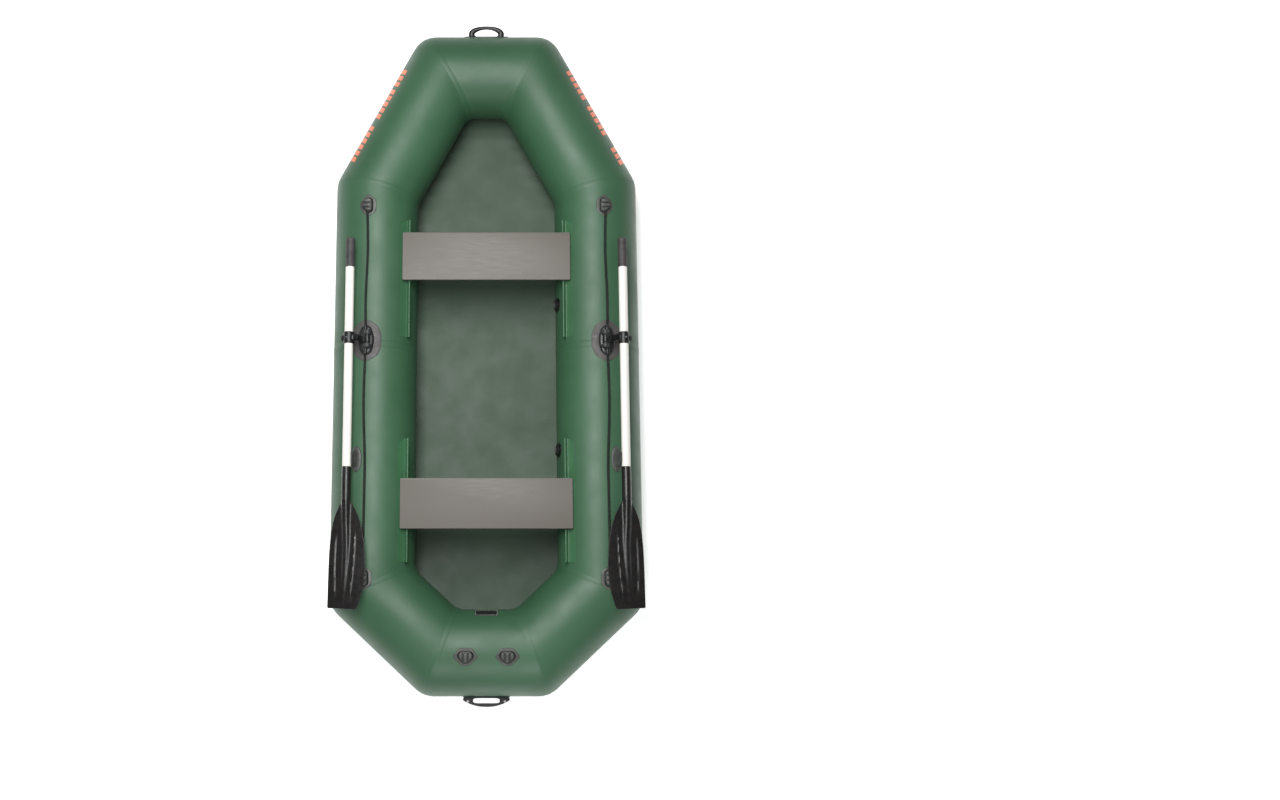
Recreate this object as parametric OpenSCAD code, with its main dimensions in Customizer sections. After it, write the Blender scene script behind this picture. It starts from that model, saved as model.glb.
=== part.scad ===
// Two-seat inflatable rowing boat: a ring of inflated fabric tubes with a blunt bow and stern, a flat
// fabric floor, two sliding bench seats, two oars in swivelling oarlocks, grab lines and handles.
// +Z is up, +Y points to the bow, +X to starboard. The origin is on the ground under the middle.
// Sizes are in millimetres.

/* [Hull] */
// Length of the inflated hull, without the handles
hull_l = 2800; // [2500:10:3400]
// Width of the inflated hull
hull_w = 1270; // [1140:2:1530]
// Diameter of the inflated tubes
tube_d = 345; // [310:1:415]
// Thickness of the coated fabric
skin = 1.2; // [0.9:0.1:2]
// Width of the blunt bow between its outer corners
bow_w = 568; // [480:4:700]
// Width of the blunt stern between its outer corners
stern_w = 504; // [450:4:620]
// Length of each slanting bow quarter, along the boat
bow_run = 658; // [520:2:760]
// Length of each slanting stern quarter, along the boat
stern_run = 356; // [290:2:430]
// Where the two air chambers meet, forward of the middle
seam_y = 9; // [-60:1:60]
// Height of the floor sheet above the bottom of the tubes
floor_z = 18; // [12:1:30]

/* [Bench seats] */
// How far each bench board reaches past the beads of the seat rails
bench_over = 29; // [26:1:32]
// Width of each bench board
bench_w = 203; // [150:1:260]
// Thickness of each bench board
bench_t = 12; // [9:0.5:18]
// Depth of the board's underside below the top of the tubes
bench_drop = 42; // [38:1:46]
// Place of the fore bench, forward of the middle of its rails
fore_bench_at = 89; // [-140:1:140]
// Place of the aft bench, forward of the middle of its rails
aft_bench_at = -17; // [-140:1:140]
// Length of each seat rail
rail_l = 500; // [440:5:540]
// From the end of each side tube to the rail nearest to it, at the bow
fore_rail_back = 195; // [150:1:240]
// The same at the stern
aft_rail_back = 170; // [130:1:210]
// Height of the bead's middle above the tube's fabric
bead_up = 16; // [15:0.5:19]
// Diameter of the rail's bead
bead_d = 8; // [6:0.5:9]
// Sideways clearance between the bead and its guide
bead_gap = 0.3; // [0.3:0.1:0.8]

/* [Oars] */
// Outer diameter of the oar shaft
shaft_d = 35; // [28:0.5:42]
// Wall of the oar shaft
shaft_wall = 1.5; // [1:0.1:3]
// From the oarlock to the end of the grip
oar_in = 420; // [340:5:500]
// From the oarlock to the start of the blade's socket
oar_out = 525; // [420:5:640]
// Length of the grip
grip_l = 124; // [90:1:160]
// Thickness of the grip's rubber
grip_t = 1.5; // [1.5:0.1:4]
// Length of the blade's round neck
neck_l = 134; // [100:1:180]
// Length of the blade's flat
blade_l = 426; // [340:2:520]
// Greatest width of the blade
blade_w = 152; // [120:1:158]
// Width of the blade at its tip
tip_w = 118; // [90:1:140]
// Thickness of the blade
blade_t = 5; // [3:0.5:8]

/* [Oarlocks] */
// Place of the oarlocks, forward of the middle
lock_y = 21; // [-20:1:60]
// Diameter of the lift pin
lift_pin_d = 10; // [8:0.5:12]
// Diameter of the collar's pin
collar_pin_d = 12; // [9:0.5:14]
// Wall of the oar collar
collar_wall = 4.5; // [3.5:0.5:6]
// Length of the oar collar
collar_l = 48; // [24:1:56]
// Clearance of the turning fits, on the radius
fit_gap = 0.05; // [0.02:0.01:0.1]
// Clearance between the lock's arm and the base under it
arm_gap = 0.3; // [0.2:0.1:1]
// How far the oar plane leans outboard, in degrees
lean = 20; // [16:1:22]

/* [Fittings] */
// Thickness of the bonded patches
patch_t = 2; // [1.5:0.1:3]
// Diameter of the grab lines
rope_d = 10; // [8:0.5:12]
// Diameter of the valve flanges
valve_d = 60; // [50:1:70]
// Place of the fore valve
fore_valve_y = 201; // [120:1:260]
// Place of the aft valve
aft_valve_y = -411; // [-480:1:-340]
// How far each handle reaches past the hull
handle_out = 42; // [36:1:60]
// Diameter of the bow handle's bar
handle_bar = 14; // [10:1:18]
// Width of the bow handle
bow_handle_w = 162; // [130:2:200]
// Width of the stern handle
stern_handle_w = 188; // [150:2:220]

/* [Hidden] */
$fn = 72;
eps = 0.5;
big = 2000;
r = tube_d / 2;
tube_x = hull_w / 2 - r;
tube_y = hull_l / 2 - r;

// The hull's plan: outer corners on the starboard side, from the bow clockwise.
outline = [
    [0, hull_l / 2],
    [bow_w / 2, hull_l / 2],
    [hull_w / 2, hull_l / 2 - bow_run],
    [hull_w / 2, stern_run - hull_l / 2],
    [stern_w / 2, -hull_l / 2],
    [0, -hull_l / 2]
];
function unit(v) = v / norm(v);
// The inward normal of the side that starts at corner i.
function inward(i) = let(d = unit(outline[i + 1] - outline[i])) [d.y, -d.x];
// Corner i moved in by a distance, which keeps each side parallel.
function inset(i, by) =
    let(a = inward(i - 1), b = inward(i)) outline[i] + by * (a + b) / (1 + a * b);
// How far the outline turns at corner i, in degrees: always clockwise.
function turn(i) = -acos(inward(i - 1) * inward(i));

// Angles round the side tubes, from the top outwards, in degrees.
lock_ang = 5.5;
rope_ang = 9;
aft_eye_ang = 8;
valve_ang = -75;
// The ends of the straight side tubes.
side_fore = hull_l / 2 - bow_run;
side_aft = stern_run - hull_l / 2;
// Places of the eyes that hold the grab lines.
fore_eye_y = side_fore - 148;
aft_eye_y = side_aft + 102;
stern_eye_x = 82;
stern_eye_ang = 7;
eye_l = 63;
eye_w = 46;
eye_pad = [71, 92];
eye_corner = 24;
lock_pad = [118, 168];
lock_corner = 34;
rope_h = patch_t + rope_d / 2 + 1.5;
rope_hole = rope_d / 2 + 1.2;
eye_h = rope_h + rope_d / 2 + 4.5;
bow_handle_rise = 20;
label_size = [92, 60];
strip_t = 4;
label_ang = 66;

// The oarlock's pins and collar, from the lift pin: a outboard, c off the tube.
shaft_r = shaft_d / 2;
collar_d = shaft_d + 2 * collar_wall;
lug_in = 18;
lug_t = 14;
lug_r = 11;
sleeve_r = 11;
hub_r = 12;
arm_t = 12;
hub_from = arm_t / 2 + 2;
hub_over = 14;
post_a = 29;
shaft_a = post_a + hub_r + shaft_r + 6.5;
shaft_c = hub_from + collar_d / 2 + 6;
hub_to = shaft_c + hub_over;
base_t = 6;
base_size = [51, 116];
tunnel_l = 100;
tunnel_r = rope_hole + 2;
pin_h = rope_h + tunnel_r + arm_gap + sleeve_r;
knob_d = 18;
knob_l = 14;
stem_d = 8;
grip_r = shaft_r + grip_t;
neck_r = shaft_r + grip_t;
socket_depth = 56;
// The oar rests, and the room round the shaft over them.
rest_y = lock_y - 487;
rest_l = 60;
rest_pad = [44, 100];
rest_lip = 8;
rest_gap = 2;

// Seat rails.
fore_rail_y = side_fore - fore_rail_back - rail_l / 2;
aft_rail_y = side_aft + aft_rail_back + rail_l / 2;
fore_bench_y = fore_rail_y + fore_bench_at;
aft_bench_y = aft_rail_y + aft_bench_at;
bench_z = tube_d - bench_drop;
bead_drop = 10;
bead_off = r + bead_up;
bead_z = bench_z - bead_drop - r;
bead_in = sqrt(bead_off * bead_off - bead_z * bead_z);
bead_ang = atan2(bead_in, bead_z);
bench_l = 2 * (tube_x - bead_in + bench_over);
foot_half = 7.4;
foot_t = 1.5;
web_t = 3;
flange_t = 4;
cup_r = bead_d / 2 + flange_t;
// How far a guide's flange reaches inboard and outboard of the bead.
lip_in = 17;
lip_out = 19;
screw_d = 4;
screw_head = 8;
screw_y = 80;
screw_edge = 4.5;

// Valves.
barrel_r = valve_d / 3;
valve_bore = valve_d / 4;
barrel_in = 25;
flange_up = 3;
seat_at = 22;
seat_t = 3;
stem_r = 4;
cap_up = 6;

cord_sides = 8;
// Centre line of the starboard grab line, from the fore eye to the aft eye, held clear of the tube.
grab_route = [
    [491, 592, 351.5], [491, 560, 351.5], [490, 538, 350], [489, 505, 348.8], [488, 460, 349],
    [487, 400, 349], [489, 320, 349], [492, 240, 348.5], [493, 170, 348.5], [492, 112, 350],
    [491, 80, 351.3], [491, 21, 351.3], [491, -38, 351.3], [492, -72, 350], [494, -140, 348],
    [495, -220, 348], [493, -310, 348.5], [489, -400, 349], [486, -490, 349.3], [486.5, -580, 349.3],
    [487, -670, 349.3], [487.5, -760, 349.2], [487.7, -850, 349.5], [487.7, -900, 351.5],
    [487.7, -938, 351.7]
];

// Frames. Everything on one side is made to starboard, and mirrored to port.
module port() {
    mirror([1, 0, 0]) children();
}
module both() {
    children();
    port() children();
}
// +Z points out of the starboard tube at a place along it, from the tube's axis.
module on_side(y, ang) {
    translate([tube_x, y, r]) rotate([0, ang, 0]) children();
}
// The same on the stern tube, with the angle counted aft from the top.
module on_stern(x, ang) {
    translate([x, -tube_y, r]) rotate([ang, 0, 0]) children();
}
// The oarlock's leaning frame, at the middle of the lift pin.
module on_lock() {
    on_side(lock_y, lock_ang) translate([0, 0, r + pin_h]) rotate([0, lean - lock_ang, 0]) children();
}
module along_y(d, l) {
    rotate([90, 0, 0]) cylinder(d = d, h = l, center = true);
}

// Hull.
module capsule(radius, l) {
    cylinder(r = radius, h = l);
    sphere(radius);
    translate([0, 0, l]) sphere(radius);
}
// A tube between two points of the plan, cut to a mitre at each end. An end that turns by 0 is flat.
module tube_section(from, to, turn_from, turn_to) {
    d = to - from;
    l = norm(d);
    translate([from.x, from.y, r]) rotate([0, 0, atan2(d.y, d.x)]) difference() {
        rotate([0, 90, 0]) difference() {
            capsule(r, l);
            capsule(r - skin, l);
        }
        rotate([0, 0, -turn_from / 2]) translate([-big, -big, -big]) cube([big, 2 * big, 2 * big]);
        translate([l, 0, 0]) rotate([0, 0, turn_to / 2]) translate([0, -big, -big])
            cube([big, 2 * big, 2 * big]);
    }
}
module bow_tube() {
    c = inset(1, r);
    color("darkolivegreen") tube_section([-c.x, c.y], c, turn(1), turn(1));
}
module stern_tube() {
    c = inset(4, r);
    color("darkolivegreen") tube_section(c, [-c.x, c.y], turn(4), turn(4));
}
module bow_quarter() {
    color("darkolivegreen") tube_section(inset(1, r), inset(2, r), turn(1), turn(2));
}
module fore_side() {
    color("darkolivegreen") tube_section(inset(2, r), [tube_x, seam_y], turn(2), 0);
}
module aft_side() {
    color("darkolivegreen") tube_section([tube_x, seam_y], inset(3, r), 0, turn(3));
}
module with_valve_hole(y) {
    difference() {
        children();
        on_side(y, valve_ang) translate([0, 0, r - 20]) cylinder(r = barrel_r + 0.3, h = 40);
    }
}
module stern_quarter() {
    color("darkolivegreen") tube_section(inset(3, r), inset(4, r), turn(3), turn(4));
}
module bulkhead() {
    color("darkseagreen") translate([tube_x, seam_y, r]) along_y(tube_d - 2 * skin, skin);
}
module floor_sheet() {
    edge = r + sqrt(r * r - (r - floor_z) * (r - floor_z)) + eps;
    half = [for (i = [1:4]) inset(i, edge)];
    color("darkslategray") translate([0, 0, floor_z]) linear_extrude(skin)
        polygon(concat(half, [for (i = [3:-1:0]) [-half[i].x, half[i].y]]));
}

// Seat rails and benches. The outline is drawn from the tube's axis, with x outboard and y up.
module rail_section() {
    rotate(bead_ang) {
        intersection() {
            difference() {
                circle(r + foot_t);
                circle(r);
            }
            polygon(big * [[0, 0], [-sin(foot_half), cos(foot_half)], [sin(foot_half), cos(foot_half)]]);
        }
        translate([-web_t / 2, r + foot_t / 2]) square([web_t, bead_off - r]);
        translate([0, bead_off]) circle(d = bead_d);
    }
}
module seat_rail(y) {
    color("darkgreen") translate([tube_x, y + rail_l / 2, r]) rotate([90, 0, 0])
        linear_extrude(rail_l) rail_section();
}
module guide_section() {
    difference() {
        union() {
            translate([-bead_in, bead_z]) circle(cup_r);
            translate([-bead_in - cup_r, bead_z]) square([2 * cup_r, bead_drop]);
            translate([-bead_in - lip_in, bead_z + bead_drop - flange_t])
                square([lip_in + lip_out, flange_t]);
        }
        translate([-bead_in, bead_z]) circle(bead_d / 2 + bead_gap);
        rotate(bead_ang) translate([-web_t / 2 - 2 * bead_gap, r])
            square([web_t + 4 * bead_gap, bead_off - r]);
    }
}
// The screws' places in one guide, from the middle of the bench.
module at_screws(y) {
    for (x = [screw_edge - lip_in, lip_out - screw_edge], along = [-screw_y, screw_y])
        translate([tube_x - bead_in + x, y + along, bench_z]) children();
}
module bench_guides(y) {
    color("dimgray") both() difference() {
        translate([tube_x, y + bench_w / 2, r]) rotate([90, 0, 0]) linear_extrude(bench_w)
            guide_section();
        at_screws(y) translate([0, 0, -flange_t - 1]) cylinder(d = screw_d + 0.4, h = flange_t + 2);
    }
}
module bench_screws(y) {
    color("silver") both() at_screws(y) {
        translate([0, 0, -flange_t - 1]) cylinder(d = screw_d, h = flange_t + 9);
        translate([0, 0, -flange_t - 2]) cylinder(d = screw_head, h = 2);
    }
}
module bench_board(y) {
    color("rosybrown") difference() {
        translate([-bench_l / 2, y - bench_w / 2, bench_z]) cube([bench_l, bench_w, bench_t]);
        both() at_screws(y) translate([0, 0, -1]) cylinder(d = screw_d + 0.04, h = 9.5);
    }
}

// Bonded pads: an outline cut from a shell round the tube.
module octagon(size, corner) {
    x = size.x / 2;
    y = size.y / 2;
    polygon([[x, y - corner], [x - corner, y], [corner - x, y], [-x, y - corner],
        [-x, corner - y], [corner - x, -y], [x - corner, -y], [x, corner - y]]);
}
module oblong(size) {
    half = (size.y - size.x) / 2;
    square([size.x, 2 * half], center = true);
    for (y = [-half, half]) translate([0, y]) circle(d = size.x);
}
module shell_pad(from, t) {
    intersection() {
        rotate([90, 0, 0]) difference() {
            cylinder(r = r + from + t, h = big, center = true);
            cylinder(r = r + from, h = 2 * big, center = true);
        }
        linear_extrude(2 * r) children();
    }
}

// Oarlock.
module lock_patch() {
    color("gray") on_side(lock_y, rope_ang) shell_pad(0, patch_t)
        octagon(lock_pad, lock_corner);
}
module lock_base() {
    color("darkslategray") difference() {
        union() {
            on_side(lock_y, rope_ang) {
                shell_pad(patch_t, base_t) oblong(base_size);
                translate([0, 0, r + rope_h]) along_y(2 * tunnel_r, tunnel_l);
            }
            on_side(lock_y, lock_ang) for (side = [-1, 1])
                translate([0, side * (lug_in + lug_t / 2), 0]) {
                    translate([0, 0, r + pin_h]) along_y(2 * lug_r, lug_t);
                    translate([-lug_r, -lug_t / 2, r + patch_t + 2])
                        cube([2 * lug_r, lug_t, pin_h - patch_t - 2]);
                }
        }
        on_side(lock_y, rope_ang) translate([0, 0, r + rope_h]) along_y(2 * rope_hole, big);
        on_lock() along_y(lift_pin_d + 0.04, big);
        translate([tube_x, lock_y, r]) along_y(tube_d + 2 * patch_t, big);
    }
}
module lift_pin() {
    reach = lug_in + lug_t;
    color("silver") on_lock() {
        along_y(lift_pin_d, 2 * reach + 4);
        for (side = [-1, 1]) translate([0, side * (reach + 3), 0]) along_y(lift_pin_d + 5, 4);
    }
}
module lock_arm() {
    color("dimgray") on_lock() difference() {
        union() {
            along_y(2 * sleeve_r, 2 * lug_in - 3);
            translate([0, -hub_r, -arm_t / 2]) cube([post_a, 2 * hub_r, arm_t]);
            translate([post_a, 0, -arm_t / 2]) cylinder(r = hub_r, h = arm_t);
        }
        along_y(lift_pin_d + 2 * fit_gap, big);
        translate([post_a, 0, -arm_t]) cylinder(d = collar_pin_d + 0.04, h = 2 * arm_t);
    }
}
module collar_pin() {
    color("silver") on_lock() translate([post_a, 0, 0]) {
        translate([0, 0, -arm_t / 2 - 2]) cylinder(d = collar_pin_d + 4, h = 2);
        translate([0, 0, -arm_t / 2 - 1]) cylinder(d = collar_pin_d, h = hub_to + arm_t / 2 + 2);
        translate([0, 0, hub_to + 0.3]) cylinder(d = collar_pin_d + 6, h = 3);
    }
}
module oar_collar() {
    color("dimgray") on_lock() difference() {
        union() {
            translate([post_a, 0, hub_from]) cylinder(r = hub_r, h = hub_to - hub_from);
            translate([shaft_a, 0, shaft_c]) along_y(collar_d, collar_l);
            translate([post_a, -hub_r + 2, shaft_c - 9]) cube([shaft_a - post_a, 2 * hub_r - 4, 18]);
        }
        translate([post_a, 0, 0]) cylinder(d = collar_pin_d + 2 * fit_gap, h = 2 * hub_to);
        translate([shaft_a, 0, shaft_c]) {
            along_y(shaft_d + 2 * fit_gap, big);
            rotate([0, 90, 0]) cylinder(d = stem_d + 0.04, h = collar_d);
        }
    }
}
module thumbscrew() {
    color("dimgray") on_lock() translate([shaft_a, 0, shaft_c]) rotate([0, 90, 0]) {
        translate([0, 0, shaft_r + 0.6]) cylinder(d = stem_d, h = collar_d / 2 - shaft_r + 1);
        translate([0, 0, collar_d / 2 + 0.6]) cylinder(d = knob_d, h = knob_l);
        translate([-2, -knob_d / 2 - 2, collar_d / 2 + 3]) cube([4, knob_d + 4, knob_l - 4]);
    }
}

// Oar. The shaft's axis is its own frame, with +Y forward from the collar's middle.
module on_oar() {
    on_lock() translate([shaft_a, 0, shaft_c]) children();
}
module oar_piece(from, to, d_from, d_to) {
    translate([0, from, 0]) rotate([90, 0, 0]) cylinder(d1 = d_from, d2 = d_to, h = from - to);
}
module oar_shaft() {
    front = oar_in - 6;
    back = -oar_out - socket_depth;
    color("silver") on_oar() difference() {
        oar_piece(front, back, shaft_d, shaft_d);
        oar_piece(front + 1, back - 1, shaft_d - 2 * shaft_wall, shaft_d - 2 * shaft_wall);
    }
}
module oar_grip() {
    color("black") on_oar() difference() {
        oar_piece(oar_in, oar_in - grip_l, 2 * grip_r, 2 * grip_r);
        oar_piece(oar_in - 5, oar_in - grip_l - 1, shaft_d + 0.04, shaft_d + 0.04);
    }
}
// Half the blade's width, from 0 at the neck to 1 at the tip: it swells, then narrows a little.
widest_at = 0.56;
function blade_half(t) = t < widest_at
    ? neck_r + (blade_w / 2 - neck_r) * pow(sin(90 * t / widest_at), 1.6)
    : blade_w / 2 - (blade_w - tip_w) / 2 * pow((t - widest_at) / (1 - widest_at), 1.5);
blade_steps = 24;
module oar_blade() {
    side = [for (i = [0:blade_steps]) [blade_half(i / blade_steps), -blade_l * i / blade_steps]];
    neck_end = -oar_out - neck_l;
    color("black") on_oar() difference() {
        union() {
            oar_piece(-oar_out, neck_end, 2 * neck_r, 2 * neck_r);
            oar_piece(neck_end, neck_end - 0.75 * blade_l, 2 * neck_r, 3 * blade_t);
            translate([0, neck_end, -blade_t / 2]) linear_extrude(blade_t)
                polygon(concat(side, [for (i = [blade_steps:-1:0]) [-side[i].x, side[i].y]]));
        }
        oar_piece(-oar_out + 1, -oar_out - socket_depth - 2, shaft_d + 0.04, shaft_d + 0.04);
    }
}
// The rest's frame leans with the oar, so the shaft lies over it at a plain offset.
module oar_rest() {
    over = (r + pin_h) * sin(lock_ang - lean) + shaft_a;
    up = (r + pin_h) * cos(lock_ang - lean) + shaft_c;
    color("dimgray") on_side(rest_y, lean) difference() {
        union() {
            shell_pad(0, 3) oblong(rest_pad);
            translate([over - shaft_r - rest_lip - 1, -rest_l / 2, r - 4])
                cube([2 * shaft_r + rest_lip, rest_l, up - r + 4 - 6]);
        }
        rotate([90, 0, 0]) cylinder(r = r, h = big, center = true);
        translate([over, 0, up]) along_y(shaft_d + 2 * rest_gap, big);
        translate([over - 4, -big / 2, up - shaft_r - rest_gap])
            cube([4 * shaft_r, big, 2 * shaft_r]);
    }
}

// Valves on the starboard tube.
module valve_body(y) {
    color("dimgray") on_side(y, valve_ang) difference() {
        union() {
            difference() {
                translate([0, 0, r - 8]) cylinder(d = valve_d, h = 8 + flange_up);
                rotate([90, 0, 0]) cylinder(r = r, h = 2 * valve_d, center = true);
            }
            translate([0, 0, r - barrel_in]) cylinder(r = barrel_r, h = barrel_in + flange_up);
        }
        translate([0, 0, r - seat_at + seat_t]) cylinder(r = valve_bore, h = seat_at + 10);
        translate([0, 0, r - barrel_in - 1]) cylinder(r = stem_r + fit_gap, h = barrel_in);
        translate([0, 0, r - barrel_in - 1]) cylinder(r = valve_bore, h = barrel_in - seat_at + 1);
        for (a = [0:60:300]) rotate(a) translate([10, 0, r - barrel_in - 1])
            cylinder(r = 2.5, h = barrel_in);
    }
}
module valve_cap(y) {
    color("dimgray") on_side(y, valve_ang) {
        translate([0, 0, r - 1]) cylinder(r = valve_bore - 0.1, h = flange_up + 2);
        translate([0, 0, r + flange_up + 0.3]) cylinder(r = barrel_r + 3, h = cap_up);
        translate([-4, -14, r + flange_up + cap_up]) cube([8, 28, 7]);
    }
}
module valve_plunger(y) {
    color("lightgray") on_side(y, valve_ang) {
        translate([0, 0, r - barrel_in - 8]) cylinder(r = stem_r, h = barrel_in + 3);
        translate([0, 0, r - barrel_in - 3]) cylinder(r = valve_bore - 2, h = 3);
        translate([0, 0, r - 7]) cylinder(r = 8, h = 3);
    }
}

// Handles and rope eyes.
// A strip bonded round the outward face of the bow tube, from the tube's axis.
module end_strip(l, w, t) {
    intersection() {
        rotate([0, 90, 0]) difference() {
            cylinder(r = r + t, h = l, center = true);
            cylinder(r = r, h = 2 * l, center = true);
        }
        translate([-l, 0, -w / 2]) cube([2 * l, 2 * r, w]);
    }
}
module bow_handle() {
    bend = 20;
    leg_x = (bow_handle_w - handle_bar) / 2;
    far = handle_out - handle_bar / 2;
    color("black") translate([0, tube_y, r]) rotate([bow_handle_rise, 0, 0]) {
        end_strip(bow_handle_w + 30, 44, strip_t);
        translate([0, r, 0]) {
            for (side = [-1, 1]) {
                translate([side * leg_x, (far - bend + 1) / 2, 0]) along_y(handle_bar, far - bend - 1);
                translate([side * (leg_x - bend), far - bend, 0]) rotate(side > 0 ? 0 : 90)
                    rotate_extrude(angle = 90) translate([bend, 0]) circle(d = handle_bar);
            }
            translate([0, far, 0]) rotate([0, 90, 0])
                cylinder(d = handle_bar, h = 2 * (leg_x - bend), center = true);
        }
    }
}
module stern_handle() {
    ear = 20;
    slot = [110, 20];
    x = stern_handle_w / 2 - ear;
    color("black") mirror([0, 1, 0]) difference() {
        union() {
            translate([0, tube_y, r]) end_strip(stern_handle_w, 40, strip_t);
            translate([0, hull_l / 2, r - 11]) linear_extrude(22) difference() {
                union() {
                    translate([-x, 0]) square([2 * x, handle_out]);
                    for (side = [-x, x]) translate([side, handle_out - ear]) circle(ear);
                    translate([-x - ear, 0]) square([2 * x + 2 * ear, handle_out - ear]);
                }
                translate([-slot.x / 2, strip_t + 2]) square(slot);
            }
        }
        translate([0, tube_y, r]) rotate([0, 90, 0]) cylinder(r = r, h = big, center = true);
        at_ears() cylinder(d = 6.04, h = 60, center = true);
    }
}
module at_ears() {
    for (side = [-1, 1]) translate([side * (stern_handle_w / 2 - 20), hull_l / 2 + 20, r]) children();
}
module stern_handle_screws() {
    color("silver") mirror([0, 1, 0]) at_ears() {
        cylinder(d = 6, h = 26, center = true);
        translate([0, 0, 11]) cylinder(d = 11, h = 3);
        translate([0, 0, -14]) cylinder(d = 11, h = 3);
    }
}
// A moulded eye on its pad, with the flat of its D inboard and the rope's hole along the tube.
module rope_eye() {
    difference() {
        union() {
            shell_pad(0, patch_t) octagon(eye_pad, eye_corner);
            shell_pad(0, eye_h) intersection() {
                translate([-8, 0]) circle(d = eye_l);
                square([eye_w, 2 * eye_l], center = true);
            }
        }
        translate([0, 0, r + rope_h]) along_y(rope_d + 1, big);
        for (y = [-9, 9]) translate([0, y, r + eye_h]) rotate([0, 90, 0])
            cylinder(r = 2, h = 2 * eye_w, center = true);
    }
}
module fore_rope_eyes() {
    color("dimgray") both() on_side(fore_eye_y, rope_ang) rope_eye();
}
// The aft eyes' pads lie over the mitre, so they are hollowed to the stern quarter too.
module aft_rope_eyes() {
    corner = inset(3, r);
    d = inset(4, r) - corner;
    color("dimgray") both() difference() {
        on_side(aft_eye_y, aft_eye_ang) rope_eye();
        translate([corner.x, corner.y, r]) rotate([0, 0, atan2(d.y, d.x)]) rotate([0, 90, 0])
            cylinder(r = r, h = norm(d));
    }
}
module stern_rope_eyes() {
    color("dimgray") for (x = [-stern_eye_x, stern_eye_x]) on_stern(x, stern_eye_ang)
        rotate([0, 0, -90]) rope_eye();
}
module label_plate() {
    color("dimgray") translate([0, -tube_y, r]) rotate([-label_ang, 0, 0]) intersection() {
        rotate([0, 90, 0]) difference() {
            cylinder(r = r + 1, h = big, center = true);
            cylinder(r = r, h = 2 * big, center = true);
        }
        linear_extrude(2 * r) square(label_size, center = true);
    }
}

// Grab lines: a tube swept through the route, with one ring at each point and one between.
function between(p, i) = let(n = len(p) - 1)
    (-p[max(i - 1, 0)] + 9 * p[i] + 9 * p[i + 1] - p[min(i + 2, n)]) / 16;
function smooth(p) = [for (i = [0:len(p) - 1]) each i < len(p) - 1 && norm(p[i + 1] - p[i]) > 50
    ? [p[i], between(p, i)] : [p[i]]];
function ring(c, ahead) = let(f = unit(ahead), u = unit(cross(f, [0, 0, 1])), v = cross(u, f))
    [for (k = [0:cord_sides - 1]) c + rope_d / 2 * (cos(360 * k / cord_sides) * u
        + sin(360 * k / cord_sides) * v)];
module sweep(path) {
    n = len(path);
    points = [for (i = [0:n - 1]) each ring(path[i], path[min(i + 1, n - 1)] - path[max(i - 1, 0)])];
    walls = [for (i = [0:n - 2], k = [0:cord_sides - 1])
        let(a = i * cord_sides, b = a + (k + 1) % cord_sides)
        each [[a + k, b, b + cord_sides], [a + k, b + cord_sides, a + k + cord_sides]]];
    first = [for (k = [1:cord_sides - 2]) [0, k + 1, k]];
    last = [for (k = [1:cord_sides - 2]) (n - 1) * cord_sides * [1, 1, 1] + [0, k, k + 1]];
    polyhedron(points, concat(walls, first, last));
}
module grab_line() {
    color("black") sweep(smooth(grab_route));
}

bow_tube();
stern_tube();
port() bow_quarter();  // port_bow_quarter
bow_quarter();  // starboard_bow_quarter
port() fore_side();  // port_fore_side
with_valve_hole(fore_valve_y) fore_side();  // starboard_fore_side
port() aft_side();  // port_aft_side
with_valve_hole(aft_valve_y) aft_side();  // starboard_aft_side
port() stern_quarter();  // port_stern_quarter
stern_quarter();  // starboard_stern_quarter
port() bulkhead();  // port_bulkhead
bulkhead();  // starboard_bulkhead
floor_sheet();
port() seat_rail(fore_rail_y);  // port_fore_rail
seat_rail(fore_rail_y);  // starboard_fore_rail
port() seat_rail(aft_rail_y);  // port_aft_rail
seat_rail(aft_rail_y);  // starboard_aft_rail
bench_board(fore_bench_y);  // fore_bench_board
bench_guides(fore_bench_y);  // fore_bench_guides
bench_screws(fore_bench_y);  // fore_bench_screws
bench_board(aft_bench_y);  // aft_bench_board
bench_guides(aft_bench_y);  // aft_bench_guides
bench_screws(aft_bench_y);  // aft_bench_screws
port() lock_patch();  // port_lock_patch
lock_patch();  // starboard_lock_patch
port() lock_base();  // port_lock_base
lock_base();  // starboard_lock_base
port() lift_pin();  // port_lift_pin
lift_pin();  // starboard_lift_pin
port() lock_arm();  // port_lock_arm
lock_arm();  // starboard_lock_arm
port() collar_pin();  // port_collar_pin
collar_pin();  // starboard_collar_pin
port() oar_collar();  // port_oar_collar
oar_collar();  // starboard_oar_collar
port() thumbscrew();  // port_thumbscrew
thumbscrew();  // starboard_thumbscrew
port() oar_shaft();  // port_oar_shaft
oar_shaft();  // starboard_oar_shaft
port() oar_grip();  // port_oar_grip
oar_grip();  // starboard_oar_grip
port() oar_blade();  // port_oar_blade
oar_blade();  // starboard_oar_blade
port() oar_rest();  // port_oar_rest
oar_rest();  // starboard_oar_rest
valve_body(fore_valve_y);  // fore_valve_body
valve_cap(fore_valve_y);  // fore_valve_cap
valve_plunger(fore_valve_y);  // fore_valve_plunger
valve_body(aft_valve_y);  // aft_valve_body
valve_cap(aft_valve_y);  // aft_valve_cap
valve_plunger(aft_valve_y);  // aft_valve_plunger
bow_handle();
stern_handle();
stern_handle_screws();
fore_rope_eyes();
aft_rope_eyes();
stern_rope_eyes();
port() grab_line();  // port_grab_line
grab_line();  // starboard_grab_line
label_plate();
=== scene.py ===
"""An inflatable rowing boat: its looks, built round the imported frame. Metres, +Z up, +Y to the bow."""
from math import acos, asin, copysign, cos, exp, pi, radians, sin, sqrt, tan, tau

import bmesh
import bpy
from mathutils import Matrix, Vector, noise
from mathutils.bvhtree import BVHTree


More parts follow.
